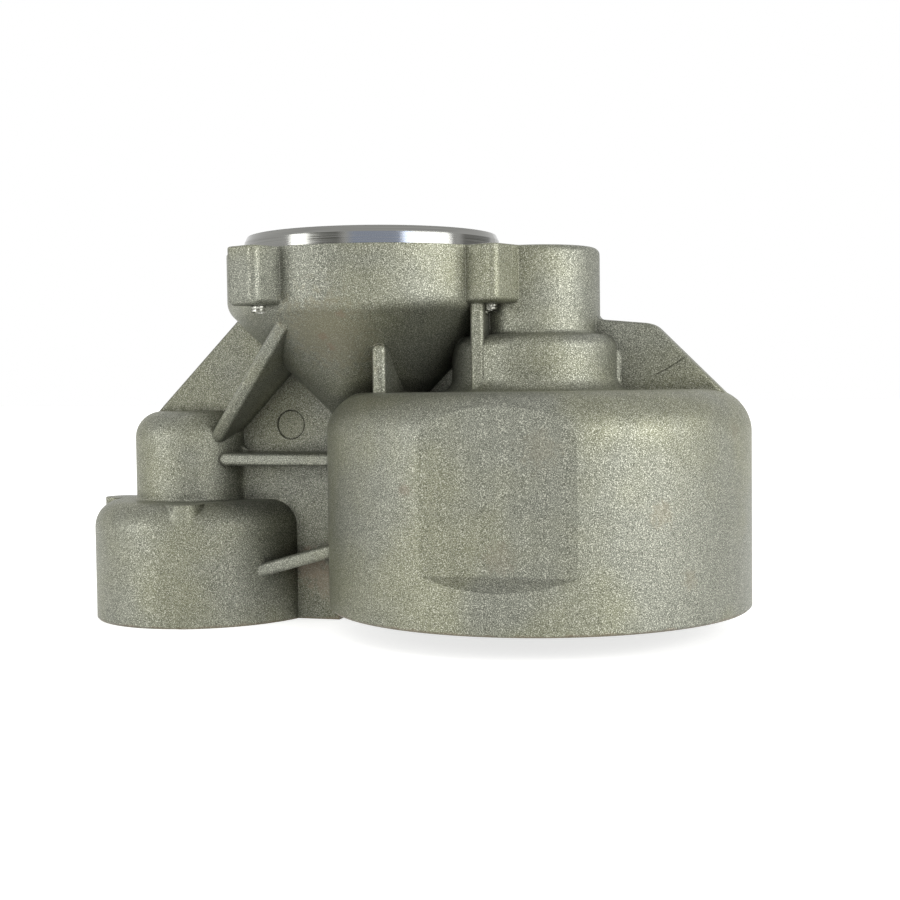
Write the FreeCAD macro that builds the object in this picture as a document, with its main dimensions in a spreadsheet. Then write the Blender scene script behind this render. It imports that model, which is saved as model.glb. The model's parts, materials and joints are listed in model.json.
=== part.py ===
import FreeCAD, Part
import math
import os

import Sketcher

# Die cast gear motor housing: one aluminium casting. A large cup for the gear wheel and a
# small cup for the pinion open downwards, a funnel carries the motor flange and its turned
# spigot, and a web with ribs ties the three together. Millimetres, +Z up. The origin is
# on the axis of the large cup, in the plane of its rim.

V = FreeCAD.Vector
doc = FreeCAD.newDocument("gear_motor_housing")
sheet = doc.addObject("Spreadsheet::Sheet", "Sizes")

driving = {
    # large cup, stepped bosses on it and what is inside
    "cup_radius": 60.0,
    "cup_height": 60.6,
    "cup_shoulder": 12.0,
    "cup_wall": 4.0,
    "cup_roof": 5.0,
    "cup_inside_corner": 8.0,
    "rim_break": 0.5,
    "step_radius": 24.1,
    "step_top": 76.2,
    "step_shoulder": 4.0,
    "step_fillet": 4.0,
    "step_web_fillet": 1.6,
    "corner_rise": 1.0,
    "step_corner_fade": 4.0,
    "boss_radius": 18.1,
    "boss_top": 100.6,
    "boss_edge": 2.0,
    "boss_fillet": 1.5,
    "wheel_bearing_radius": 17.5,
    "wheel_bearing_top": 70.0,
    "wheel_shaft_radius": 11.0,
    "wheel_shaft_top": 92.0,
    # flat milled on the outside of the large cup
    "flat_distance": 56.5,
    "flat_foot": 14.5,
    "flat_turn": 2.5,
    # small cup and its boss
    "pinion_axis": -107.3,
    "pinion_rim": -6.7,
    "pinion_radius": 30.7,
    "pinion_top": 29.0,
    "pinion_shoulder": 8.0,
    "pinion_wall": 4.0,
    "pinion_roof": 4.0,
    "pinion_inside_corner": 5.0,
    "pinion_flank_radius": 38.4,
    "pinion_flank_turn": 20.0,
    "knob_radius": 18.1,
    "knob_top": 55.6,
    "knob_shoulder": 8.0,
    "knob_fillet": 1.0,
    "knob_web_fillet": 4.0,
    "knob_corner_fade": 10.0,
    "pinion_bearing_radius": 11.0,
    "pinion_bearing_top": 49.0,
    # cover screws of the small cup
    "screw_boss_radius": 5.5,
    "screw_spread": 72.0,
    "screw_hole_radius": 2.1,
    "screw_hole_depth": 16.0,
    "nick_radius": 1.2,
    "nick_depth": 2.3,
    "nick_inset": 0.9,
    "nick_turn": 6.2,
    # motor flange, funnel and spigot
    "motor_axis": -49.1,
    "flange_radius": 42.4,
    "flange_top": 100.5,
    "flange_round": 6.0,
    "cone_apex": 42.2,
    "cone_foot_radius": 8.5,
    "cone_wall": 4.0,
    "spigot_radius": 37.2,
    "spigot_height": 5.3,
    "spigot_lead": 1.7,
    "spigot_taper": 0.8,
    "motor_bore_radius": 33.0,
    "motor_shaft_radius": 8.0,
    # lugs on the flange
    "lug_count": 4.0,
    "lug_turn": -24.5,
    "lug_reach": 51.6,
    "lug_width": 11.6,
    "boss_lug_width": 14.2,
    "lug_height": 15.8,
    "lug_corner": 2.4,
    "lug_bottom_edge": 1.6,
    "lug_top_edge": 0.6,
    "lug_hole_margin": 7.0,
    "bolt_hole_radius": 2.1,
    "bolt_hole_runout": 2.6,
    # web between the cups
    "web_thickness": 7.0,
    "web_top": 80.2,
    "web_end": 78.8,
    "web_reach": 33.9,
    "web_round": 6.0,
    "web_fillet": 2.2,
    "web_foot_offset": 10.9,
    "web_edge": 0.9,
    # ribs on the front of the web
    "rib_thickness": 3.8,
    "rib_edge": 1.3,
    "level_rib_height": 41.3,
    "level_rib_start": 13.6,
    "level_rib_depth": 13.3,
    "low_rib_height": 9.5,
    "low_rib_rise": 6.1,
    "low_rib_depth": 16.8,
    "brace_low": 48.3,
    "brace_high": 79.4,
    "brace_low_offset": 13.4,
    "brace_high_offset": 14.7,
    "brace_low_depth": 14.0,
    "brace_high_depth": 35.2,
    "funnel_rib_offset": 11.7,
    "funnel_rib_depth": 30.2,
    "funnel_rib_top": 74.2,
    "lug_rib_offset": 11.6,
    "lug_rib_depth": 22.6,
    # round mark of an ejector pin
    "pin_mark_radius": 4.3,
    "pin_mark_depth": 0.3,
    "pin_mark_offset": 14.4,
    "pin_mark_height": 51.3,
}


class Size:
    # A length with the formula that binds it to the sheet.
    def __init__(self, value, formula):
        self.value = value
        self.formula = formula

    def join(self, sign, other, value):
        return Size(value, f"({self.formula} {sign} {as_size(other).formula})")

    def __add__(self, other):
        return self.join("+", other, self.value + as_size(other).value)

    def __sub__(self, other):
        return self.join("-", other, self.value - as_size(other).value)

    def __mul__(self, other):
        return self.join("*", other, self.value * as_size(other).value)

    def __truediv__(self, other):
        return self.join("/", other, self.value / as_size(other).value)

    def __neg__(self):
        return Size(-self.value, f"(0 - {self.formula})")


def as_size(number):
    return number if isinstance(number, Size) else Size(float(number), f"{float(number)}")


def root(area):
    return Size(area.value ** 0.5, f"sqrt({area.formula})")


def sine(turn):
    return Size(math.sin(math.radians(turn.value)), f"sin({turn.formula} * 1 deg)")


def cosine(turn):
    return Size(math.cos(math.radians(turn.value)), f"cos({turn.formula} * 1 deg)")


size = {}
for row, (alias, value) in enumerate(driving.items(), start=1):
    sheet.set(f"A{row}", alias)
    sheet.set(f"B{row}", str(value))
    sheet.setAlias(f"B{row}", alias)
    size[alias] = Size(value, f"Sizes.{alias}")
doc.recompute()

ZERO = as_size(0)
DIAGONAL = 2 ** 0.5
ROOT_HALF = as_size(DIAGONAL / 2)
TANGENT_OF_EIGHTH = as_size(DIAGONAL - 1)
# how far a cutting body runs past the face it opens
OVERRUN = as_size(5)
# how far the web's slope runs on into the funnel that it meets
BURIED = as_size(2)

# two heights or depths nearer than this count as one
SAME = 0.001

UPRIGHT = FreeCAD.Placement(V(0, 0, 0), FreeCAD.Rotation(V(1, 0, 0), 90))
SIDEWAYS = FreeCAD.Placement(V(0, 0, 0), FreeCAD.Rotation(V(1, 1, 1), 120))
LEVEL = FreeCAD.Placement()


def bind(item, prop, length):
    item.setExpression(prop, as_size(length).formula)


def to(across, up):
    return ("line", as_size(across), as_size(up))


def arc(centre_across, centre_up, across, up, counter=True):
    return ("arc", as_size(across), as_size(up), as_size(centre_across), as_size(centre_up), counter)


def outline(name, plane, start, steps):
    # Closed sketch through the given corners: every corner is held by two dimensions.
    sketch = doc.addObject("Sketcher::SketchObject", name)
    sketch.Placement = plane
    corners = [start] + [(step[1], step[2]) for step in steps]
    corners[-1] = start
    entries = []
    for step, (ax, ay), (bx, by) in zip(steps, corners, corners[1:]):
        a = V(ax.value, ay.value, 0)
        b = V(bx.value, by.value, 0)
        if step[0] == "line":
            index = sketch.addGeometry(Part.LineSegment(a, b), False)
            entries.append((index, 1, 2, None))
            continue
        centre = V(step[3].value, step[4].value, 0)
        first, last = (a, b) if step[5] else (b, a)
        circle = Part.Circle(centre, V(0, 0, 1), (a - centre).Length)
        curve = Part.ArcOfCircle(circle, circle.parameter(first), circle.parameter(last))
        index = sketch.addGeometry(curve, False)
        entries.append((index, 1, 2, step) if step[5] else (index, 2, 1, step))
    for number, (index, head, tail, step) in enumerate(entries):
        follower = entries[(number + 1) % len(entries)]
        sketch.addConstraint(Sketcher.Constraint("Coincident", index, tail, follower[0], follower[1]))
    for (index, head, tail, step), (x, y), (end_x, end_y) in zip(entries, corners, corners[1:]):
        fix(sketch, "DistanceX", index, head, x)
        fix(sketch, "DistanceY", index, head, y)
        if step:
            # an arc's centre is held across its chord, where the two ends leave it free
            upright = abs(end_y.value - y.value) > abs(end_x.value - x.value)
            fix(sketch, "DistanceX" if upright else "DistanceY", index, 3, step[3] if upright else step[4])
    return sketch


def fix(sketch, kind, index, point, length):
    number = sketch.addConstraint(Sketcher.Constraint(kind, -1, 1, index, point, length.value))
    if length.formula != ZERO.formula:
        sketch.setExpression(f"Constraints[{number}]", length.formula)


def turned(name, start, steps, axis=ZERO):
    # Solid of revolution about a vertical axis at X = axis.
    body = doc.addObject("Part::Revolution", name)
    body.Source = outline(name + "_profile", UPRIGHT, start, steps)
    body.Axis = V(0, 0, 1)
    body.Angle = 360
    body.Solid = True
    bind(body, "Placement.Base.x", axis)
    return body


def slab(name, plane, start, steps, forward, backward):
    # Prism on an outline: forward and backward are lengths along the outline's normal.
    body = doc.addObject("Part::Extrusion", name)
    body.Base = outline(name + "_profile", plane, start, steps)
    body.DirMode = "Normal"
    body.Solid = True
    bind(body, "LengthFwd", forward)
    bind(body, "LengthRev", backward)
    return body


def rod(name, radius, low, high, across=ZERO, along=ZERO):
    body = doc.addObject("Part::Cylinder", name)
    bind(body, "Radius", radius)
    bind(body, "Height", high - low)
    bind(body, "Placement.Base.x", across)
    bind(body, "Placement.Base.y", along)
    bind(body, "Placement.Base.z", low)
    return body


def copies_at(name, piece, turns, axis):
    # Copies of a piece about a vertical axis, each turned from +X by its own angle.
    copies = []
    for number, turn in enumerate(turns, start=1):
        copy = doc.addObject("Part::Compound", f"{name}_{number}")
        copy.Links = [piece]
        copy.Placement.Rotation = FreeCAD.Rotation(V(0, 0, 1), 1)
        bind(copy, "Placement.Rotation.Angle", turn)
        bind(copy, "Placement.Base.x", axis)
        copies.append(copy)
    return copies


def forward_edges(shape):
    # Numbers of the edges round the face that looks most to the front.
    front = min(shape.Faces, key=lambda face: face.normalAt(0, 0).y)
    return [number for number, edge in enumerate(shape.Edges, start=1)
            if any(edge.isSame(own) for own in front.Edges)]


def rounded(name, piece, edges, radius):
    body = doc.addObject("Part::Fillet", name)
    body.Base = piece
    body.Edges = [(number, radius.value, radius.value) for number in edges]
    return body


def round_front(piece):
    # Breaks the cast edges round the free front face of a rib.
    doc.recompute()
    return rounded(piece.Name + "_rounded", piece, forward_edges(piece.Shape), size["rib_edge"])


def joined(name, pieces):
    body = doc.addObject("Part::MultiFuse", name)
    body.Shapes = pieces
    body.Refine = True
    return body


def cut(name, base, tool):
    body = doc.addObject("Part::Cut", name)
    body.Base = base
    body.Tool = tool
    body.Refine = True
    return body


def large_cup():
    radius, height, shoulder = size["cup_radius"], size["cup_height"], size["cup_shoulder"]
    step, step_top, step_edge = size["step_radius"], size["step_top"], size["step_shoulder"]
    boss, boss_top, boss_edge = size["boss_radius"], size["boss_top"], size["boss_edge"]
    foot, neck, rim = size["step_fillet"], size["boss_fillet"], size["rim_break"]
    return turned("cup_outside", (ZERO, ZERO), [
        to(radius - rim, 0),
        to(radius, rim),
        to(radius, height - shoulder),
        arc(radius - shoulder, height - shoulder, radius - shoulder, height),
        to(step + foot, height),
        arc(step + foot, height + foot, step, height + foot, counter=False),
        to(step, step_top - step_edge),
        arc(step - step_edge, step_top - step_edge, step - step_edge, step_top),
        to(boss + neck, step_top),
        arc(boss + neck, step_top + neck, boss, step_top + neck, counter=False),
        to(boss, boss_top - boss_edge),
        arc(boss - boss_edge, boss_top - boss_edge, boss - boss_edge, boss_top),
        to(0, boss_top),
        to(0, 0),
    ])


def large_cup_inside():
    radius = size["cup_radius"] - size["cup_wall"]
    ceiling = size["cup_height"] - size["cup_roof"]
    corner = size["cup_inside_corner"]
    seat, seat_top = size["wheel_bearing_radius"], size["wheel_bearing_top"]
    shaft, shaft_top = size["wheel_shaft_radius"], size["wheel_shaft_top"]
    return turned("cup_inside", (ZERO, -OVERRUN), [
        to(radius, -OVERRUN),
        to(radius, ceiling - corner),
        arc(radius - corner, ceiling - corner, radius - corner, ceiling),
        to(seat, ceiling),
        to(seat, seat_top),
        to(shaft, seat_top),
        to(shaft, shaft_top),
        to(0, shaft_top),
        to(0, -OVERRUN),
    ])


def small_cup():
    radius, rim, top = size["pinion_radius"], size["pinion_rim"], size["pinion_top"]
    shoulder, knob, knob_top = size["pinion_shoulder"], size["knob_radius"], size["knob_top"]
    knob_edge, neck, lip = size["knob_shoulder"], size["knob_fillet"], size["rim_break"]
    return turned("pinion_outside", (ZERO, rim), [
        to(radius - lip, rim),
        to(radius, rim + lip),
        to(radius, top - shoulder),
        arc(radius - shoulder, top - shoulder, radius - shoulder, top),
        to(knob + neck, top),
        arc(knob + neck, top + neck, knob, top + neck, counter=False),
        to(knob, knob_top - knob_edge),
        arc(knob - knob_edge, knob_top - knob_edge, knob - knob_edge, knob_top),
        to(0, knob_top),
        to(0, rim),
    ], size["pinion_axis"])


def flanks(name, radius, low, high, shoulder):
    # The small cup swells towards the large one: past a radial plane on each side its wall
    # follows a wider arc, tangent to the round part, and the two arcs end on the web.
    turn, axis = size["pinion_flank_turn"], size["pinion_axis"]
    shift = size["pinion_flank_radius"] - size["pinion_radius"]
    across = axis - shift * sine(turn)
    bodies = []
    for side, along in ((1, shift * cosine(turn)), (2, -(shift * cosine(turn)))):
        body = turned(f"{name}_{side}", (ZERO, low), [
            to(radius, low),
            to(radius, high - shoulder),
            arc(radius - shoulder, high - shoulder, radius - shoulder, high),
            to(0, high),
            to(0, low),
        ], across)
        bind(body, "Placement.Base.y", along)
        bodies.append(body)
    reach = size["pinion_flank_radius"] * 2
    out, up = reach * sine(turn), reach * cosine(turn)
    wedge = slab(name + "_wedge", LEVEL, (axis, ZERO), [
        to(axis + out, -up),
        to(axis + reach, -up),
        to(axis + reach, up),
        to(axis + out, up),
        to(axis, 0),
    ], high + OVERRUN, OVERRUN - low)
    lens = doc.addObject("Part::MultiCommon", name)
    lens.Shapes = bodies + [wedge]
    return lens


def small_cup_flanks():
    return flanks("pinion_flanks", size["pinion_flank_radius"], size["pinion_rim"],
                  size["pinion_top"], size["pinion_shoulder"])


def small_cup_flanks_inside():
    return flanks("pinion_flanks_inside", size["pinion_flank_radius"] - size["pinion_wall"],
                  size["pinion_rim"] - OVERRUN, size["pinion_top"] - size["pinion_roof"],
                  size["pinion_inside_corner"])


def small_cup_inside():
    radius = size["pinion_radius"] - size["pinion_wall"]
    rim = size["pinion_rim"] - OVERRUN
    ceiling = size["pinion_top"] - size["pinion_roof"]
    corner = size["pinion_inside_corner"]
    seat, seat_top = size["pinion_bearing_radius"], size["pinion_bearing_top"]
    return turned("pinion_inside", (ZERO, rim), [
        to(radius, rim),
        to(radius, ceiling - corner),
        arc(radius - corner, ceiling - corner, radius - corner, ceiling),
        to(seat, ceiling),
        to(seat, seat_top),
        to(0, seat_top),
        to(0, rim),
    ], size["pinion_axis"])


def motor_seat():
    # A 45 degree cone, a rounded turn into the flange, and the turned spigot on top.
    radius, top, turn = size["flange_radius"], size["flange_top"], size["flange_round"]
    apex, foot = size["cone_apex"], size["cone_foot_radius"]
    edge = radius + apex
    centre_up = edge + turn * TANGENT_OF_EIGHTH
    spigot, lead, taper = size["spigot_radius"], size["spigot_lead"], size["spigot_taper"]
    spigot_top = top + size["spigot_height"]
    return turned("motor_outside", (ZERO, foot + apex), [
        to(foot, foot + apex),
        to(radius - turn + turn * ROOT_HALF, centre_up - turn * ROOT_HALF),
        arc(radius - turn, centre_up, radius, centre_up),
        to(radius, top),
        to(spigot, top),
        to(spigot, spigot_top - lead),
        to(spigot - taper, spigot_top),
        to(0, spigot_top),
        to(0, foot + apex),
    ], size["motor_axis"])


def motor_inside():
    bore, shaft = size["motor_bore_radius"], size["motor_shaft_radius"]
    rise = size["cone_apex"] + size["cone_wall"] / ROOT_HALF
    top = size["flange_top"] + size["spigot_height"] + OVERRUN
    ceiling = size["cup_height"] - size["cup_roof"] - OVERRUN
    return turned("motor_inside", (ZERO, ceiling), [
        to(shaft, ceiling),
        to(shaft, shaft + rise),
        to(bore, bore + rise),
        to(bore, top),
        to(0, top),
        to(0, ceiling),
    ], size["motor_axis"])


def lug(name, width):
    # One lug lying along +X, flush with the flange, its lower and upper edges broken.
    half, corner, reach = width / 2, size["lug_corner"], size["lug_reach"]
    inner = size["motor_bore_radius"]
    body = slab(name, LEVEL, (inner, -half), [
        to(reach - corner, -half),
        arc(reach - corner, corner - half, reach, corner - half),
        to(reach, half - corner),
        arc(reach - corner, half - corner, reach - corner, half),
        to(inner, half),
        to(inner, -half),
    ], size["lug_height"], ZERO)
    bind(body, "Placement.Base.z", size["flange_top"] - size["lug_height"])
    doc.recompute()
    levels = [(number, edge.CenterOfMass.z) for number, edge in enumerate(body.Shape.Edges, start=1)]
    middle = size["flange_top"].value - size["lug_height"].value / 2
    lower, upper = min(level for number, level in levels), max(level for number, level in levels)
    edges = [(number, "lug_bottom_edge" if level < middle else "lug_top_edge")
             for number, level in levels if level in (lower, upper)]
    softened = doc.addObject("Part::Fillet", name + "_softened")
    softened.Base = body
    softened.Edges = [(number, size[edge].value, size[edge].value) for number, edge in edges]
    return softened


def lugs():
    # Four alike on a square, and a wider one round the lug that stands beside the boss.
    count = size["lug_count"]
    turns = [size["lug_turn"] + as_size(360 * number) / count for number in range(int(count.value))]
    axis = size["motor_axis"]
    plain = copies_at("lug", lug("lug", size["lug_width"]), turns, axis)
    wide = copies_at("boss_lug", lug("boss_lug", size["boss_lug_width"]), turns[:1], axis)
    return plain + wide, copies_at("lug_hole", lug_hole(), turns, axis)


def lug_hole():
    # Tapped from above, through the lug and a little into what stands below it.
    radius, runout = size["bolt_hole_radius"], size["bolt_hole_runout"]
    low = size["flange_top"] - size["lug_height"]
    tip = radius * ROOT_HALF
    return turned("lug_hole", (ZERO, low - runout - tip), [
        to(radius, low - runout),
        to(radius, size["flange_top"] + OVERRUN),
        to(0, size["flange_top"] + OVERRUN),
        to(0, low - runout - tip),
    ], size["lug_reach"] - size["lug_hole_margin"])


def cover_screws():
    # Three screw bosses stand inside the small cup, flush with its wall, and show through
    # its shoulder as half moons: one opposite the web and one on each side of it.
    place = size["pinion_radius"] - size["screw_boss_radius"]
    rim = size["pinion_rim"]
    boss = rod("screw_boss", size["screw_boss_radius"], rim, size["pinion_top"], place)
    hole = rod("screw_hole", size["screw_hole_radius"], rim - OVERRUN,
               rim + size["screw_hole_depth"], place)
    turns = [as_size(180), size["screw_spread"], -size["screw_spread"]]
    axis = size["pinion_axis"]
    return copies_at("screw_boss", boss, turns, axis), copies_at("screw_hole", hole, turns, axis)


def nick():
    # Small V nick that the die leaves in the upper edge of the front screw boss.
    cone = doc.addObject("Part::Cone", "nick_cone")
    cone.Radius1 = 0
    bind(cone, "Radius2", size["nick_radius"])
    bind(cone, "Height", size["nick_depth"])
    bind(cone, "Placement.Base.x", size["pinion_radius"] - size["nick_inset"])
    bind(cone, "Placement.Base.z", size["pinion_top"] - size["nick_depth"] + 0.1)
    return copies_at("nick", cone, [-(size["screw_spread"] + size["nick_turn"])], size["pinion_axis"])


def web():
    half = size["web_thickness"] / 2
    rim, small, cup = size["pinion_rim"], size["pinion_axis"], size["cup_radius"]
    top, end, reach = size["web_top"], size["web_end"], size["web_reach"]
    turn, fillet = size["web_round"], size["web_fillet"]
    inside = size["cup_radius"] - size["cup_shoulder"]
    boss_side = root(size["boss_radius"] * size["boss_radius"] - half * half)
    start = boss_side + fillet
    # the top falls a little from the boss to the rounded knee, then at 45 degrees
    fall = (top - end) / (reach - start)
    along = as_size(1) / root(fall * fall + 1)
    bend = (as_size(1) - fall) / (fall + 1)
    tangent = turn * (root(bend * bend + 1) - 1) / bend
    knee_x = reach - tangent * along
    knee_z = end + tangent * along * fall
    foot_x = small - size["web_foot_offset"]
    foot_z = size["knob_top"]
    climb = size["flange_top"] - size["lug_height"] + BURIED - foot_z
    flank = inside + size["cup_shoulder"] / 2
    body = slab("web", UPRIGHT, (small, rim), [
        to(-cup, rim),
        to(-cup, 0),
        to(0, 0),
        to(inside, size["cup_height"] - size["cup_shoulder"]),
        to(flank, reach + end - flank),
        to(reach + tangent * ROOT_HALF, end - tangent * ROOT_HALF),
        arc(knee_x - turn * along * fall, knee_z - turn * along, knee_x, knee_z),
        to(start, top),
        arc(start, top + fillet, boss_side, top + fillet, counter=False),
        to(0, top + fillet),
        to(foot_x + climb, foot_z + climb),
        to(foot_x, foot_z),
        to(small, size["pinion_top"]),
        to(small, rim),
    ], half, half)
    doc.recompute()
    middles = [(number, edge.CenterOfMass) for number, edge in enumerate(body.Shape.Edges, start=1)]
    beside = [(number, at) for number, at in middles if abs(abs(at.y) - half.value) < SAME]
    free = [number for number, at in beside
            if at.x > boss_side.value and at.z > flank.value
            or at.x < foot_x.value + climb.value and at.z > foot_z.value]
    return rounded("web_softened", body, free, size["web_edge"])


def corner_fill(name, axis, radius, fillet, fade, low, high):
    # Fillets between an upright round boss and both sides of the web, on the boss's +X side.
    # They fade out at the top in a wide curve.
    half = size["web_thickness"] / 2
    up = half + fillet
    across = root((radius + fillet) * (radius + fillet) - up * up)
    share = radius / (radius + fillet)
    body = slab(name + "_plate", LEVEL, (axis + across, -half), [
        arc(axis + across, -up, axis + across * share, -up * share),
        to(axis + across * share, up * share),
        arc(axis + across, up, axis + across, half),
        to(axis + across, -half),
    ], high, -low)
    limit = turned(name + "_limit", (ZERO, low), [
        to(across, low),
        to(across, high - fade),
        arc(across - fade, high - fade, across - fade, high),
        to(0, high),
        to(0, low),
    ], axis)
    both = doc.addObject("Part::Common", name)
    both.Base = body
    both.Tool = limit
    return both


def corner_fills():
    knob = corner_fill("knob_corner", size["pinion_axis"], size["knob_radius"],
                       size["knob_web_fillet"], size["knob_corner_fade"],
                       size["pinion_top"] - size["pinion_roof"] / 2,
                       size["knob_top"] - size["knob_shoulder"] + size["corner_rise"])
    step = corner_fill("step_corner", ZERO, size["step_radius"],
                       size["step_web_fillet"], size["step_corner_fade"],
                       size["cup_height"] - size["cup_roof"] / 2,
                       size["step_top"] - size["step_shoulder"] + size["corner_rise"])
    return [knob, step]


def strip(name, low, high, thickness, depth):
    # Straight rib seen from the front as a round-ended strip from one point to another,
    # standing forward of the middle plane of the web.
    across, up = high[0] - low[0], high[1] - low[1]
    length = root(across * across + up * up)
    half = thickness / 2
    ax, az = half * across / length, half * up / length
    return slab(name, UPRIGHT, (low[0] + az, low[1] - ax), [
        to(high[0] + az, high[1] - ax),
        arc(high[0], high[1], high[0] - az, high[1] + ax),
        to(low[0] - az, low[1] + ax),
        arc(low[0], low[1], low[0] + az, low[1] - ax),
    ], depth, ZERO)


def ribs():
    small, motor, thickness = size["pinion_axis"], size["motor_axis"], size["rib_thickness"]
    inside = size["cup_wall"] - size["cup_radius"]
    half = thickness / 2
    roof = size["cup_height"] - size["cup_roof"] / 2
    level, low = size["level_rib_height"], size["low_rib_height"]
    funnel_x, lug_x = motor + size["funnel_rib_offset"], -size["lug_rib_offset"]
    under_lug = size["flange_top"] - size["lug_height"] + size["lug_bottom_edge"]
    plates = [
        strip("level_rib", (small + size["level_rib_start"] + half, level), (inside, level),
              thickness, size["level_rib_depth"]),
        strip("low_rib", (small + size["knob_radius"], low - size["low_rib_rise"] / 2),
              (inside, low + size["low_rib_rise"]), thickness, size["low_rib_depth"]),
        strip("funnel_rib", (funnel_x, roof), (funnel_x, size["funnel_rib_top"] - half),
              thickness, size["funnel_rib_depth"]),
        strip("lug_rib", (lug_x, roof), (lug_x, under_lug), thickness, size["lug_rib_depth"]),
        brace(thickness),
    ]
    return [round_front(plate) for plate in plates]


def brace(thickness):
    # The gusset from the small cup's boss to the funnel: its free edge leans forward as it
    # climbs, so the strip is cut to a sloping front.
    low = (size["pinion_axis"] + size["brace_low_offset"], size["brace_low"])
    high = (size["motor_axis"] - size["brace_high_offset"], size["brace_high"])
    plate = strip("brace_plate", low, high, thickness, size["flange_radius"])
    margin = size["rib_thickness"]
    climb = (size["brace_high_depth"] - size["brace_low_depth"]) / (high[1] - low[1]) * margin
    lean = slab("brace_lean", SIDEWAYS, (ZERO, low[1] - margin), [
        to(climb - size["brace_low_depth"], low[1] - margin),
        to(-size["brace_high_depth"] - climb, high[1] + margin),
        to(0, high[1] + margin),
        to(0, low[1] - margin),
    ], ZERO, -size["pinion_axis"])
    body = doc.addObject("Part::Common", "brace")
    body.Base = plate
    body.Tool = lean
    return body


def flat_cutter():
    # Takes a flat off the cup's front; its lower end runs out at 45 degrees.
    near, foot, reach = size["flat_distance"], size["flat_foot"], size["cup_radius"] + OVERRUN
    body = slab("flat_cutter", SIDEWAYS, (-near, foot), [
        to(-near, size["cup_height"] + OVERRUN),
        to(-reach, size["cup_height"] + OVERRUN),
        to(-reach, foot - reach + near),
        to(-near, foot),
    ], size["cup_radius"], size["cup_radius"])
    body.Placement.Rotation = FreeCAD.Rotation(V(0, 0, 1), 1)
    bind(body, "Placement.Rotation.Angle", size["flat_turn"])
    return body


def pin_mark():
    body = rod("pin_mark", size["pin_mark_radius"], ZERO, size["pin_mark_depth"])
    body.Placement.Rotation = FreeCAD.Rotation(V(1, 0, 0), 90)
    bind(body, "Placement.Base.x", size["cup_radius"] * -1 - size["pin_mark_offset"])
    bind(body, "Placement.Base.y", size["pin_mark_depth"] - size["web_thickness"] / 2)
    bind(body, "Placement.Base.z", size["pin_mark_height"])
    return body


lug_bodies, lug_holes = lugs()
screw_bosses, screw_holes = cover_screws()
motor_mount = joined("motor_mount", [motor_seat()] + lug_bodies)
solid = joined("outer_form", [large_cup(), small_cup(), small_cup_flanks(), motor_mount, web()]
               + corner_fills() + ribs())
hollow = joined("hollows", [large_cup_inside(), small_cup_inside(), small_cup_flanks_inside(),
                            motor_inside()])
shell = cut("shell", solid, hollow)
bossed = joined("bossed_shell", [shell] + screw_bosses)
trim = doc.addObject("Part::Compound", "drilled_and_trimmed")
trim.Links = [flat_cutter(), pin_mark()] + lug_holes + screw_holes + nick()
housing = cut("housing", bossed, trim)
housing.Label = "housing"
housing.Placement = FreeCAD.Placement()
doc.recompute()

for item in doc.Objects:
    if "Invalid" in item.State or "Error" in item.State:
        raise RuntimeError(f"{item.Name} failed: {item.State}")
    shape = getattr(item, "Shape", None)
    if shape is not None and (shape.isNull() or not shape.isValid()):
        raise RuntimeError(f"{item.Name} has no valid shape")

os.makedirs("parts", exist_ok=True)
for node in [housing]:
    node.Shape.exportStep(os.path.join("parts", node.Label + ".step"))
    print(node.Label, "solids", len(node.Shape.Solids), "faces", len(node.Shape.Faces),
          "volume", round(node.Shape.Volume), "box", node.Shape.BoundBox)
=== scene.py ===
import json
import math

import bmesh
import bpy
from mathutils import Matrix, Vector


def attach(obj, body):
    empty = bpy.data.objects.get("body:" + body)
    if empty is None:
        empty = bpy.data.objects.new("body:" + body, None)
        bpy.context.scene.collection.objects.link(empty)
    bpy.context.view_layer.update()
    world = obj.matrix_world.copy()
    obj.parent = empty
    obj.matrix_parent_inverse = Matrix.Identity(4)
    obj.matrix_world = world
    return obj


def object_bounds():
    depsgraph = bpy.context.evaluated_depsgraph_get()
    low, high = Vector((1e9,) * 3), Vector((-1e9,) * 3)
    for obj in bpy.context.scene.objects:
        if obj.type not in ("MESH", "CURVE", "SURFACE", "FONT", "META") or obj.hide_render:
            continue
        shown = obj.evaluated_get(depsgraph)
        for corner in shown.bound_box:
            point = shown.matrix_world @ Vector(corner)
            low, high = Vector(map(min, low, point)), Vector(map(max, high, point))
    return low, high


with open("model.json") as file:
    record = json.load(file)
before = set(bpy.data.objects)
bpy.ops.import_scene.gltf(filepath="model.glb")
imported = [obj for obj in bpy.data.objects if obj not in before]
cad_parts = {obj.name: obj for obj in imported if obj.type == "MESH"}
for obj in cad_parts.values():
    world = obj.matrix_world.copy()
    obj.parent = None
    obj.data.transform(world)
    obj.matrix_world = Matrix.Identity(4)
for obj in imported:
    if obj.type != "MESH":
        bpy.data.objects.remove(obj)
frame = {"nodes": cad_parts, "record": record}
low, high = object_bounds()
scene = bpy.context.scene
mm = 0.001
mounts = {mount["name"]: mount for mount in frame["record"]["mounts"]}
motorAxis = Vector(mounts["spigot"]["pos_m"])
flangeTop = mounts["flange_bolts"]["pos_m"][2]
pinionRim = Vector(mounts["pinion_rim"]["pos_m"])  # its x is the axis of the small cup
print("stage: frame loaded")


# helpers for node trees
def addNode(tree, kind, **values):
    node = tree.nodes.new(kind)
    for key, value in values.items():
        setattr(node, key, value)
    return node


def plug(tree, value, socket):
    # a socket is linked, anything else is typed in
    if isinstance(value, bpy.types.NodeSocket):
        tree.links.new(value, socket)
    else:
        socket.default_value = value


def calc(tree, operation, *values):
    node = addNode(tree, "ShaderNodeMath", operation=operation)
    for value, socket in zip(values, node.inputs):
        plug(tree, value, socket)
    return node.outputs[0]


def allOf(tree, masks):
    result = masks[0]
    for mask in masks[1:]:
        result = calc(tree, "MULTIPLY", result, mask)
    return result


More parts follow.
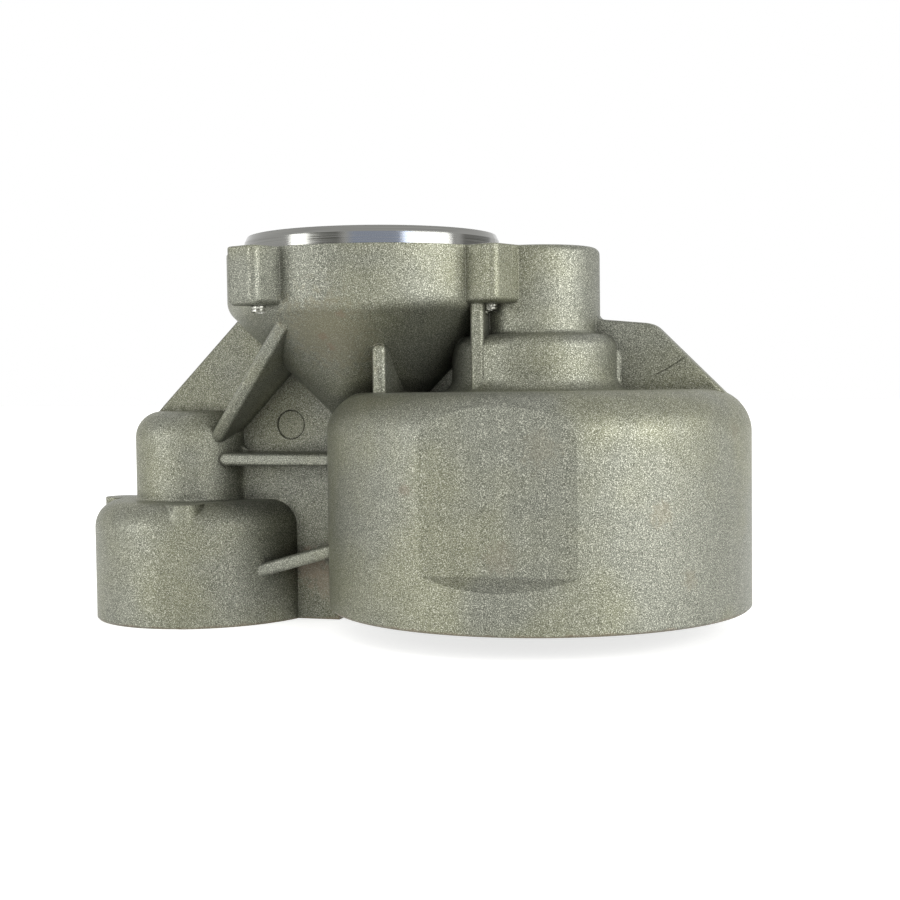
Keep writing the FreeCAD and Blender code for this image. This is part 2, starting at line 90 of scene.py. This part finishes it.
def anyOf(tree, masks):
    result = masks[0]
    for mask in masks[1:]:
        result = calc(tree, "MAXIMUM", result, mask)
    return result


def above(tree, value, limit):
    return calc(tree, "GREATER_THAN", value, limit)


def below(tree, value, limit):
    return calc(tree, "LESS_THAN", value, limit)


def between(tree, value, least, most):
    return allOf(tree, [above(tree, value, least), below(tree, value, most)])


def ramp(tree, value, fromLow, fromHigh, toLow=0.0, toHigh=1.0):
    node = addNode(tree, "ShaderNodeMapRange", interpolation_type="SMOOTHSTEP")
    for item, socket in zip((value, fromLow, fromHigh, toLow, toHigh), node.inputs):
        plug(tree, item, socket)
    return node.outputs[0]


def mix(tree, factor, first, second, blend="MIX"):
    # sockets 6 and 7 in and 2 out are the colour ones
    node = addNode(tree, "ShaderNodeMix", data_type="RGBA", blend_type=blend)
    plug(tree, factor, node.inputs["Factor"])
    plug(tree, first, node.inputs[6])
    plug(tree, second, node.inputs[7])
    return node.outputs[2]


def blendNumber(tree, factor, first, second):
    node = addNode(tree, "ShaderNodeMix", data_type="FLOAT")
    plug(tree, factor, node.inputs["Factor"])
    plug(tree, first, node.inputs[2])
    plug(tree, second, node.inputs[3])
    return node.outputs[0]


def noise(tree, vector, scale, detail=2.0, roughness=0.5):
    node = addNode(tree, "ShaderNodeTexNoise")
    plug(tree, vector, node.inputs["Vector"])
    plug(tree, scale, node.inputs["Scale"])
    node.inputs["Detail"].default_value = detail
    node.inputs["Roughness"].default_value = roughness
    return node.outputs["Fac"]


def split(tree, vector):
    node = addNode(tree, "ShaderNodeSeparateXYZ")
    tree.links.new(vector, node.inputs[0])
    return node.outputs


def hypot(tree, across, along):
    return calc(tree, "SQRT", calc(tree, "ADD", calc(tree, "MULTIPLY", across, across),
                                   calc(tree, "MULTIPLY", along, along)))


def newMaterial(name):
    material = bpy.data.materials.new(name)
    material.use_nodes = True
    return material, material.node_tree, material.node_tree.nodes["Principled BSDF"]


def newGroup(name, inputs, outputs):
    group = bpy.data.node_groups.new(name, "ShaderNodeTree")
    for title, kind in inputs:
        group.interface.new_socket(title, in_out="INPUT", socket_type=kind)
    for title in outputs:
        group.interface.new_socket(title, in_out="OUTPUT", socket_type="NodeSocketFloat")
    given = addNode(group, "NodeGroupInput").outputs
    result = addNode(group, "NodeGroupOutput").inputs
    return group, given, result


def placeGroup(tree, group, **values):
    node = addNode(tree, "ShaderNodeGroup", node_tree=group)
    for title, value in values.items():
        plug(tree, value, node.inputs[title])
    return node.outputs


# effects that the materials share
def makeCastGrain():
    # peened skin: pinhead dimples, fine dust of dark pits and bright points
    group, given, result = newGroup(
        "castGrain", [("Vector", "NodeSocketVector"), ("Size", "NodeSocketFloat")],
        ["Height", "Pits", "Points", "Cloud"])
    scale = calc(group, "DIVIDE", 1.0, given["Size"])
    fine = noise(group, given["Vector"], scale, 1.0, 0.6)
    coarse = noise(group, given["Vector"], calc(group, "MULTIPLY", scale, 0.45), 2.0)
    speck = noise(group, given["Vector"], calc(group, "MULTIPLY", scale, 1.35), 0.0)
    height = calc(group, "ADD", calc(group, "MULTIPLY", fine, 0.7),
                  calc(group, "MULTIPLY", coarse, 0.5))
    group.links.new(height, result["Height"])
    group.links.new(ramp(group, fine, 0.50, 0.33), result["Pits"])
    group.links.new(ramp(group, speck, 0.53, 0.72), result["Points"])
    group.links.new(ramp(group, coarse, 0.35, 0.65), result["Cloud"])
    return group


def makeTurning():
    # tool marks of a lathe round an upright axis: fine rings and long streaks
    group, given, result = newGroup(
        "turningMarks", [("Vector", "NodeSocketVector"), ("Feed", "NodeSocketFloat")],
        ["Height", "Streak", "Turn"])
    x, y, z = split(group, given["Vector"])
    turn = calc(group, "ARCTAN2", y, x)
    along = calc(group, "ADD", hypot(group, x, y), z)
    rings = calc(group, "DIVIDE", calc(group, "MULTIPLY", along, 2 * math.pi), given["Feed"])
    unrolled = addNode(group, "ShaderNodeCombineXYZ")
    group.links.new(calc(group, "MULTIPLY", turn, 1.5), unrolled.inputs[0])
    group.links.new(calc(group, "DIVIDE", along, given["Feed"]), unrolled.inputs[1])
    streak = ramp(group, noise(group, unrolled.outputs[0], 1.1, 2.0), 0.35, 0.65)
    group.links.new(calc(group, "SINE", rings), result["Height"])
    group.links.new(streak, result["Streak"])
    group.links.new(turn, result["Turn"])
    return group


castGrain = makeCastGrain()
turningMarks = makeTurning()

# the casting's blasted skin
cast = {
    "grain": 0.31 * mm, "grainDepth": 0.085 * mm, "bump": 0.8, "edge": 0.5 * mm,
    "olive": (0.190, 0.193, 0.133, 1), "grey": (0.176, 0.182, 0.151, 1),
    "pit": (0.040, 0.040, 0.029, 1), "point": (0.56, 0.56, 0.47, 1), "fleck": 0.7,
    "cloudScale": 28.0, "mottleScale": 210.0, "mottle": (0.93, 1.07),
    "roughness": 0.53, "pointRoughness": 0.44, "metallic": 0.80,
    # painted shade: how dark the creases are painted, and how far the occlusion reaches
    "crease": 0.55, "creaseReach": 5.0 * mm,
}
web = {  # painted shade: the web's colour is darkened in the lee of the cups, where the lamps don't reach
    "near": 3.6 * mm, "far": 8.0 * mm, "leftShade": 0.72, "rightShade": 0.90,
    "leftFrom": -119 * mm, "leftTo": -50 * mm, "cupTop": 29.3 * mm, "cupSide": -76.5 * mm,
    "rightFrom": 18 * mm, "rightAbove": 61 * mm,
}
rimLine = {"colour": (0.17, 0.125, 0.085, 1), "strength": 0.45, "wander": 2.2 * mm,
           "fade": (0.2 * mm, 0.9 * mm), "wideCup": -60.5 * mm}
pinMark = {"centre": (-74.4 * mm, 51.3 * mm), "radius": 4.25 * mm, "width": 0.28 * mm}
webScar = {"centre": (21.2 * mm, 96.0 * mm), "radius": 34.0 * mm, "width": 0.3 * mm,
           "from": 34.6 * mm, "to": 43.4 * mm, "below": 72 * mm}
markLine = {"colour": (0.06, 0.06, 0.048, 1), "strength": 0.5, "depth": 0.25 * mm,
            "face": (-3.7 * mm, -3.0 * mm)}
stains = [  # place and radius in mm, colour, strength
    ((-50.0, -34.0, 77.0), 13.0, (0.205, 0.190, 0.130, 1), 0.6),
    ((-52.1, -33.7, 76.1), 1.5, (0.21, 0.14, 0.10, 1), 0.4),
    ((-50.6, -31.1, 73.4), 1.3, (0.21, 0.14, 0.10, 1), 0.4),
    ((-44.6, -39.4, 81.9), 1.2, (0.24, 0.16, 0.12, 1), 0.3),
    ((-68.5, -3.5, 9.0), 5.5, (0.21, 0.165, 0.125, 1), 0.5),
    ((-64.0, -3.5, 4.0), 5.0, (0.21, 0.175, 0.13, 1), 0.45),
    ((13.8, -57.0, 46.4), 5.0, (0.20, 0.185, 0.135, 1), 0.3),
    ((3.3, -57.0, 19.0), 4.0, (0.20, 0.175, 0.135, 1), 0.3),
    ((-21.6, -56.0, 36.2), 2.2, (0.17, 0.135, 0.10, 1), 0.4),
    ((41.6, -43.2, 29.5), 3.5, (0.22, 0.195, 0.14, 1), 0.35),
    ((47.7, -36.5, 12.4), 2.5, (0.20, 0.18, 0.13, 1), 0.35),
    ((57.3, -17.8, 49.8), 2.5, (0.20, 0.18, 0.13, 1), 0.35),
]


def radiusAbout(tree, across, along, centre):
    return hypot(tree, calc(tree, "SUBTRACT", across, centre[0]),
                 calc(tree, "SUBTRACT", along, centre[1]))


def skinColour(tree, position, grain):
    cloud = ramp(tree, noise(tree, position, cast["cloudScale"], 3.0), 0.38, 0.62)
    mottle = ramp(tree, noise(tree, position, cast["mottleScale"], 3.0, 0.6), 0.3, 0.7,
                  *cast["mottle"])
    colour = mix(tree, cloud, cast["olive"], cast["grey"])
    colour = mix(tree, 1.0, colour, mottle, "MULTIPLY")
    pits = calc(tree, "MULTIPLY", grain["Pits"], cast["fleck"])
    points = calc(tree, "MULTIPLY", grain["Points"], cast["fleck"])
    return mix(tree, points, mix(tree, pits, colour, cast["pit"]), cast["point"])


def shadeOf(tree, x, y, z):
    # painted shade: the web in the lee of the cups is darkened, and ambient occlusion darkens the
    # creases
    nearWeb = ramp(tree, calc(tree, "ABSOLUTE", y), web["far"], web["near"])
    overCup = allOf(tree, [above(tree, z, web["cupTop"]),
                           between(tree, x, web["leftFrom"], web["leftTo"])])
    besideCup = between(tree, x, web["cupSide"], web["leftTo"])
    leftWeb = allOf(tree, [nearWeb, anyOf(tree, [overCup, besideCup])])
    rightWeb = allOf(tree, [nearWeb, above(tree, x, web["rightFrom"]),
                            above(tree, z, web["rightAbove"])])
    shade = calc(tree, "MINIMUM", blendNumber(tree, leftWeb, 1.0, web["leftShade"]),
                 blendNumber(tree, rightWeb, 1.0, web["rightShade"]))
    # painted shade: ambient occlusion darkens the base colour in creases and corners
    hollow = addNode(tree, "ShaderNodeAmbientOcclusion", samples=6, only_local=True)
    hollow.inputs["Distance"].default_value = cast["creaseReach"]
    creaseShade = ramp(tree, hollow.outputs["AO"], 0.35, 0.85, cast["crease"], 1.0)
    return calc(tree, "MULTIPLY", shade, creaseShade)


def addStains(tree, colour, position):
    blot = noise(tree, position, 650.0, 2.0)
    for place, radius, tint, strength in stains:
        away = addNode(tree, "ShaderNodeVectorMath", operation="DISTANCE")
        tree.links.new(position, away.inputs[0])
        away.inputs[1].default_value = Vector(place) * mm
        inside = calc(tree, "SUBTRACT", calc(tree, "MULTIPLY", blot, 2.0 * radius * mm),
                      away.outputs["Value"])
        mask = ramp(tree, inside, -0.35 * radius * mm, 0.6 * radius * mm)
        colour = mix(tree, calc(tree, "MULTIPLY", mask, strength), colour, tint)
    return colour


def rimMask(tree, position, x, z):
    # a brown line wanders just above both rims
    wander = calc(tree, "MULTIPLY", noise(tree, position, 160.0, 2.0), rimLine["wander"])
    wide, small = [ramp(tree, calc(tree, "SUBTRACT", calc(tree, "ADD", rim, wander), z),
                        *rimLine["fade"]) for rim in turned["rims"]]
    return anyOf(tree, [allOf(tree, [wide, above(tree, x, rimLine["wideCup"])]), small])


def circleLine(tree, x, z, circle):
    away = calc(tree, "SUBTRACT", radiusAbout(tree, x, z, circle["centre"]), circle["radius"])
    return ramp(tree, calc(tree, "ABSOLUTE", away), circle["width"], 0.0)


def markMask(tree, position, x, y, z, front):
    # the ejector pin's ring and a curved scar, both on the front of the web
    onWeb = allOf(tree, [between(tree, y, *markLine["face"]), front])
    worn = ramp(tree, noise(tree, position, 240.0, 1.0), 0.3, 0.6, 0.35, 1.0)
    ring = allOf(tree, [circleLine(tree, x, z, pinMark), onWeb, worn])
    scar = allOf(tree, [circleLine(tree, x, z, webScar), onWeb,
                        between(tree, x, webScar["from"], webScar["to"]),
                        below(tree, z, webScar["below"])])
    return anyOf(tree, [ring, scar])


# the turned ring, the bores and the milled faces
turned = {
    "feed": 0.12 * mm, "groove": 0.0012 * mm, "roughness": 0.13, "dullRoughness": 0.3,
    # the dark colour serves both the faint lathe streaks and the painted dark reflections; the blue
    # is a painted reflection
    "colour": (0.27, 0.27, 0.255, 1), "dull": (0.060, 0.060, 0.053, 1),
    "blue": (0.185, 0.21, 0.265, 1), "streaks": 0.22,
    # painted reflections: dark and blue sectors, set by angle round the motor axis
    "dullSectors": [(-91.0, 7.5), (-18.0, 11.0), (150.0, 14.0)],  # degrees, half width
    "blueSectors": [(-67.0, 13.0), (65.0, 20.0)],
    "spigot": mounts["spigot"]["dims"]["r_mm"] * mm + 0.3 * mm,
    "spigotLow": flangeTop + 0.15 * mm,
    "bore": mounts["motor_bore"]["dims"]["r_mm"] * mm, "boreLow": 79.0 * mm,
    "seats": [  # axis, radius, lowest and highest
        ((0, 0), 17.5 * mm, 55 * mm, 70.2 * mm), ((0, 0), 11 * mm, 69.8 * mm, 92.2 * mm),
        ((pinionRim.x, 0), 11 * mm, 24.8 * mm, 49.2 * mm)],
    "rims": [mounts["cup_rim"]["pos_m"][2], pinionRim.z],
    "slack": 0.05 * mm, "wallIn": 0.25 * mm, "wallOut": 0.1 * mm,
}


def atHeight(tree, z, height):
    return between(tree, z, height - turned["slack"], height + turned["slack"])


def onBore(tree, distance, radius):
    return between(tree, distance, radius - turned["wallIn"], radius + turned["wallOut"])


def machinedMask(tree, x, y, z, up):
    motorRadius = radiusAbout(tree, x, y, motorAxis)
    places = [
        allOf(tree, [above(tree, z, turned["spigotLow"]),
                     below(tree, motorRadius, turned["spigot"])]),
        allOf(tree, [atHeight(tree, z, flangeTop), above(tree, up, 0.9)]),
        allOf(tree, [onBore(tree, motorRadius, turned["bore"]),
                     above(tree, z, turned["boreLow"])])]
    for centre, radius, least, most in turned["seats"]:
        places.append(allOf(tree, [onBore(tree, radiusAbout(tree, x, y, centre), radius),
                                   between(tree, z, least, most)]))
    for rim in turned["rims"]:
        places.append(allOf(tree, [atHeight(tree, z, rim), below(tree, up, -0.9)]))
    return anyOf(tree, places)


def inSectors(tree, turn, sectors):
    soft = 2.5  # degrees
    masks = []
    for middle, half in sectors:
        away = calc(tree, "ABSOLUTE", calc(tree, "SUBTRACT", turn, math.radians(middle)))
        masks.append(ramp(tree, away, math.radians(half + soft), math.radians(half - soft)))
    return anyOf(tree, masks)


def turnedLook(tree, position, up):
    shifted = addNode(tree, "ShaderNodeVectorMath", operation="SUBTRACT")
    tree.links.new(position, shifted.inputs[0])
    shifted.inputs[1].default_value = (motorAxis.x, motorAxis.y, 0)
    marks = placeGroup(tree, turningMarks, Vector=shifted.outputs[0], Feed=turned["feed"])
    streak = calc(tree, "MULTIPLY_ADD", marks["Streak"], 0.5, 0.5)
    onWall = below(tree, calc(tree, "ABSOLUTE", up), 0.3)
    # painted reflections: dark and blue bands by angle on the turned walls, broken up by the lathe
    # streaks
    dull, blue = [allOf(tree, [inSectors(tree, marks["Turn"], turned[name]), streak, onWall])
                  for name in ("dullSectors", "blueSectors")]
    faint = calc(tree, "MULTIPLY", marks["Streak"], turned["streaks"])
    colour = mix(tree, faint, turned["colour"], turned["dull"])
    colour = mix(tree, blue, colour, turned["blue"])
    colour = mix(tree, dull, colour, turned["dull"])
    roughness = blendNumber(tree, dull, turned["roughness"], turned["dullRoughness"])
    return colour, roughness, calc(tree, "MULTIPLY", marks["Height"], turned["groove"])


def makeCastMaterial():
    material, tree, shader = newMaterial("castAluminium")
    position = addNode(tree, "ShaderNodeTexCoord").outputs["Object"]
    x, y, z = split(tree, position)
    _, facing, up = split(tree, addNode(tree, "ShaderNodeNewGeometry").outputs["True Normal"])

    grain = placeGroup(tree, castGrain, Vector=position, Size=cast["grain"])
    lines = markMask(tree, position, x, y, z, below(tree, facing, -0.8))
    machined = machinedMask(tree, x, y, z, up)
    bright, brightRough, brightHeight = turnedLook(tree, position, up)

    colour = skinColour(tree, position, grain)
    # painted shade from the web's lee and from the creases is multiplied into the skin colour
    colour = mix(tree, 1.0, colour, shadeOf(tree, x, y, z), "MULTIPLY")
    colour = addStains(tree, colour, position)
    brown = calc(tree, "MULTIPLY", rimMask(tree, position, x, z), rimLine["strength"])
    colour = mix(tree, brown, colour, rimLine["colour"])
    dark = calc(tree, "MULTIPLY", lines, markLine["strength"])
    colour = mix(tree, dark, colour, markLine["colour"])
    tree.links.new(mix(tree, machined, colour, bright), shader.inputs["Base Color"])

    rough = blendNumber(tree, grain["Points"], cast["roughness"], cast["pointRoughness"])
    rough = blendNumber(tree, machined, rough, brightRough)
    tree.links.new(rough, shader.inputs["Roughness"])
    metallic = blendNumber(tree, machined, cast["metallic"], 1.0)
    tree.links.new(metallic, shader.inputs["Metallic"])

    # relief: soft cast edges, grain, the two lines, lathe grooves
    soft = addNode(tree, "ShaderNodeBevel", samples=4)
    soft.inputs["Radius"].default_value = cast["edge"]
    castHeight = calc(tree, "SUBTRACT", calc(tree, "MULTIPLY", grain["Height"], cast["grainDepth"]),
                      calc(tree, "MULTIPLY", lines, markLine["depth"]))
    bump = addNode(tree, "ShaderNodeBump")
    bump.inputs["Strength"].default_value = cast["bump"]
    bump.inputs["Distance"].default_value = 1.0
    tree.links.new(blendNumber(tree, machined, castHeight, brightHeight), bump.inputs["Height"])
    tree.links.new(soft.outputs[0], bump.inputs["Normal"])
    tree.links.new(bump.outputs[0], shader.inputs["Normal"])
    return material


castMaterial = makeCastMaterial()
for slot in frame["nodes"]["housing"].material_slots:
    slot.material = castMaterial
print("stage: cast skin, turned places and marks")

# tapped threads in the lugs and in the cover screw holes
thread = {
    "pitch": 0.8 * mm, "root": 2.14 * mm, "crest": 1.8 * mm, "foot": 0.72, "steps": 20,
    "dark": (0.34, 0.34, 0.31, 1), "bright": (0.82, 0.82, 0.78, 1), "grain": 0.3 * mm,
    "roughness": (0.22, 0.5), "gap": 0.1 * mm,
    "lugTurn": -24.5, "lugLow": 82.4 * mm,
    "coverTurns": (180.0, 72.0, -72.0), "coverRadius": 25.2 * mm, "coverDepth": 15.6 * mm,
}


def makeThreadMaterial():
    material, tree, shader = newMaterial("cutThread")
    position = addNode(tree, "ShaderNodeTexCoord").outputs["Object"]
    grain = placeGroup(tree, castGrain, Vector=position, Size=thread["grain"])
    colour = mix(tree, grain["Cloud"], thread["dark"], thread["bright"])
    tree.links.new(colour, shader.inputs["Base Color"])
    rough = blendNumber(tree, grain["Pits"], *thread["roughness"])
    tree.links.new(rough, shader.inputs["Roughness"])
    shader.inputs["Metallic"].default_value = 1.0
    return material


def makeThread(name, x, y, bottom, top, material):
    # a V ridge wound up the wall of the hole
    pitch, steps = thread["pitch"], thread["steps"]
    foot = pitch * thread["foot"]
    turns = int((top - bottom) / pitch) - 1
    mesh = bmesh.new()
    corners = [mesh.verts.new((x + radius, y, bottom + rise)) for radius, rise in
               ((thread["root"], 0), (thread["crest"], foot / 2), (thread["root"], foot))]
    edges = [mesh.edges.new(pair) for pair in zip(corners, corners[1:])]
    bmesh.ops.spin(mesh, geom=corners + edges, cent=(x, y, bottom), axis=(0, 0, 1),
                   dvec=(0, 0, pitch / steps), angle=2 * math.pi * turns,
                   steps=steps * turns, use_merge=False)
    bmesh.ops.remove_doubles(mesh, verts=mesh.verts, dist=0.001 * mm)
    bmesh.ops.recalc_face_normals(mesh, faces=mesh.faces)
    data = bpy.data.meshes.new(name)
    mesh.to_mesh(data)
    mesh.free()
    # the ridge is open at its foot, so its faces are turned to the middle of the hole
    inward = sum((Vector((x, y, face.center.z)) - face.center).dot(face.normal)
                 for face in data.polygons)
    if inward < 0:
        data.flip_normals()
    data.materials.append(material)
    piece = bpy.data.objects.new(name, data)
    scene.collection.objects.link(piece)
    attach(piece, "root")


threadMaterial = makeThreadMaterial()
lugBolts = mounts["flange_bolts"]["dims"]
lugRadius = lugBolts["pcd_mm"] / 2 * mm
for number in range(lugBolts["count"]):
    turn = math.radians(thread["lugTurn"] + 360 / lugBolts["count"] * number)
    makeThread(f"lugThread{number + 1}", motorAxis.x + lugRadius * math.cos(turn),
               lugRadius * math.sin(turn), thread["lugLow"], flangeTop - thread["gap"],
               threadMaterial)
for number, degrees in enumerate(thread["coverTurns"], start=1):
    turn = math.radians(degrees)
    makeThread(f"coverThread{number}", pinionRim.x + thread["coverRadius"] * math.cos(turn),
               thread["coverRadius"] * math.sin(turn), pinionRim.z + thread["gap"],
               pinionRim.z + thread["coverDepth"], threadMaterial)
print("stage: threads")

# camera
view = {"place": (0.0932751971, -0.403087671, 0.0633690165), "pitch": 0.0470176666,
        "yaw": -0.2879764, "roll": -0.0130408314, "lens": 57.8409, "sensor": 36.0}


def placeCamera():
    camera = bpy.data.objects.new("camera", bpy.data.cameras.new("camera"))
    scene.collection.objects.link(camera)
    aim = (Matrix.Rotation(view["roll"], 3, "Y") @ Matrix.Rotation(view["pitch"], 3, "X")
           @ Matrix.Rotation(view["yaw"], 3, "Z"))
    axes = Matrix((aim[0], aim[2], -aim[1])).transposed()
    camera.matrix_world = Matrix.Translation(view["place"]) @ axes.to_4x4()
    camera.data.lens = view["lens"]
    camera.data.sensor_width = view["sensor"]
    camera.data.clip_start = 0.01
    scene.camera = camera


placeCamera()
print("stage: camera")

# floor, world and lamps
studio = {
    "floor": (0.70, 0.70, 0.68, 1), "floorRoughness": 0.9, "floorLift": 0.72,
    "floorSize": 4.0, "floorGap": 0.02 * mm, "world": 0.85,
    "lamps": [  # name, degrees from the camera, height, distance, width, tall, watts
        ("keyRight", 50.0, 0.28, 0.95, 0.80, 0.55, 6.2),
        ("fillLeft", -63.0, 0.20, 0.95, 0.40, 0.50, 2.8)],
}


def seenWhite(tree):
    # 1 for what the camera, a mirror or glass shows, 0 for what lights the part
    path = addNode(tree, "ShaderNodeLightPath").outputs
    return anyOf(tree, [path["Is Camera Ray"], path["Is Glossy Ray"],
                        path["Is Transmission Ray"]])


def makeFloor():
    mesh = bmesh.new()
    bmesh.ops.create_grid(mesh, x_segments=1, y_segments=1, size=studio["floorSize"])
    bmesh.ops.translate(mesh, vec=(0, 0, low.z - studio["floorGap"]), verts=mesh.verts)
    data = bpy.data.meshes.new("floor")
    mesh.to_mesh(data)
    mesh.free()
    floor = bpy.data.objects.new("floor", data)
    scene.collection.objects.link(floor)
    material, tree, shader = newMaterial("paleFloor")
    shader.inputs["Base Color"].default_value = studio["floor"]
    shader.inputs["Roughness"].default_value = studio["floorRoughness"]
    shader.inputs["Emission Color"].default_value = (1, 1, 1, 1)
    lift = calc(tree, "MULTIPLY", seenWhite(tree), studio["floorLift"])
    tree.links.new(lift, shader.inputs["Emission Strength"])
    data.materials.append(material)


def makeWorld():
    world = bpy.data.worlds.new("studio")
    scene.world = world
    world.use_nodes = True
    tree = world.node_tree
    background = tree.nodes["Background"]
    background.inputs["Color"].default_value = (1, 1, 1, 1)
    strength = blendNumber(tree, seenWhite(tree), studio["world"], 1.0)
    tree.links.new(strength, background.inputs["Strength"])


def addLamp(name, degrees, height, distance, width, tall, watts):
    centre = (low + high) / 2
    toCamera = math.atan2(view["place"][1] - centre.y, view["place"][0] - centre.x)
    turn = toCamera + math.radians(degrees)
    place = Vector((centre.x + distance * math.cos(turn),
                    centre.y + distance * math.sin(turn), height))
    lamp = bpy.data.objects.new(name, bpy.data.lights.new(name, "AREA"))
    lamp.data.shape = "RECTANGLE"
    lamp.data.size, lamp.data.size_y = width, tall
    lamp.data.energy = watts
    lamp.location = place
    lamp.rotation_euler = (centre - place).to_track_quat("-Z", "Y").to_euler()
    scene.collection.objects.link(lamp)


makeFloor()
makeWorld()
for lamp in studio["lamps"]:
    addLamp(*lamp)
scene.view_settings.view_transform = "Standard"
print("stage: floor, world and lamps")
